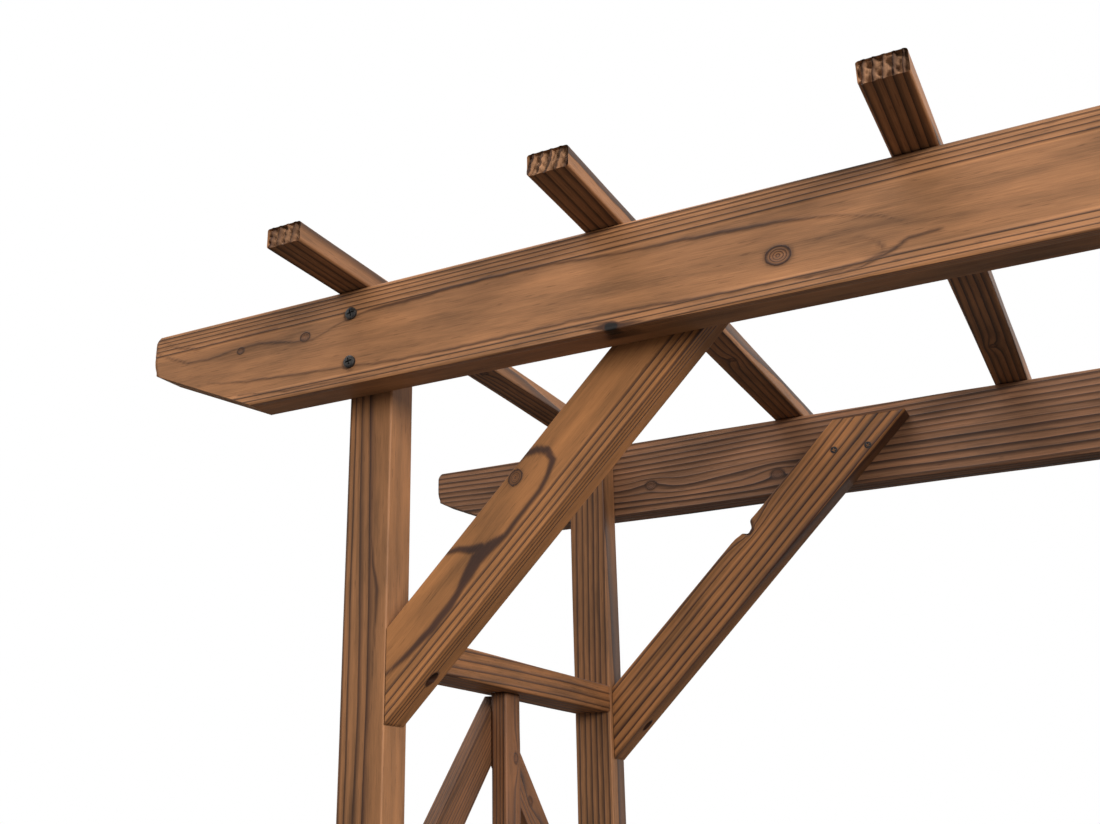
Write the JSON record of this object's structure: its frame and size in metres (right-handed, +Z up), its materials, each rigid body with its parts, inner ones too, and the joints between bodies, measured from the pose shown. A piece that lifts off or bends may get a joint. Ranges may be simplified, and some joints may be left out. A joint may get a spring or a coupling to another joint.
{
  "type": "garden arch",
  "caption": "Free-standing wooden garden arch with open lattice sides, tapered beams, knee braces and cross rafters for climbing plants to grow over.",
  "frame": {"origin": "on the ground below the centre of the arch", "axes": "+X along the beams to the right, -Y to the front, +Z up"},
  "size_m": [1.432, 0.77, 2.05],
  "materials": {
    "fir_timber": "planed, heat-treated and oiled softwood, satin",
    "black_steel": "black coated screw, satin"
  },
  "bodies": {
    "root": {"beam_front": "fir_timber", "beam_back": "fir_timber", "post_front_left": "fir_timber", "post_front_right": "fir_timber", "post_back_left": "fir_timber", "post_back_right": "fir_timber", "rafter_1": "fir_timber", "rafter_2": "fir_timber", "rafter_3": "fir_timber", "rafter_4": "fir_timber", "rafter_5": "fir_timber", "brace_front_left": "fir_timber", "brace_front_right": "fir_timber", "brace_back_left": "fir_timber", "brace_back_right": "fir_timber", "top_rail_left": "fir_timber", "upper_rail_left": "fir_timber", "lower_rail_left": "fir_timber", "bottom_rail_left": "fir_timber", "top_rail_right": "fir_timber", "upper_rail_right": "fir_timber", "lower_rail_right": "fir_timber", "bottom_rail_right": "fir_timber", "upright_top_left": "fir_timber", "upright_middle_left": "fir_timber", "upright_bottom_left": "fir_timber", "upright_top_right": "fir_timber", "upright_middle_right": "fir_timber", "upright_bottom_right": "fir_timber", "upper_slats_top_left": "fir_timber", "lower_slats_top_left": "fir_timber", "upper_slats_middle_left": "fir_timber", "lower_slats_middle_left": "fir_timber", "upper_slats_bottom_left": "fir_timber", "lower_slats_bottom_left": "fir_timber", "upper_slats_top_right": "fir_timber", "lower_slats_top_right": "fir_timber", "upper_slats_middle_right": "fir_timber", "lower_slats_middle_right": "fir_timber", "upper_slats_bottom_right": "fir_timber", "lower_slats_bottom_right": "fir_timber"}
  },
  "joints": []
}
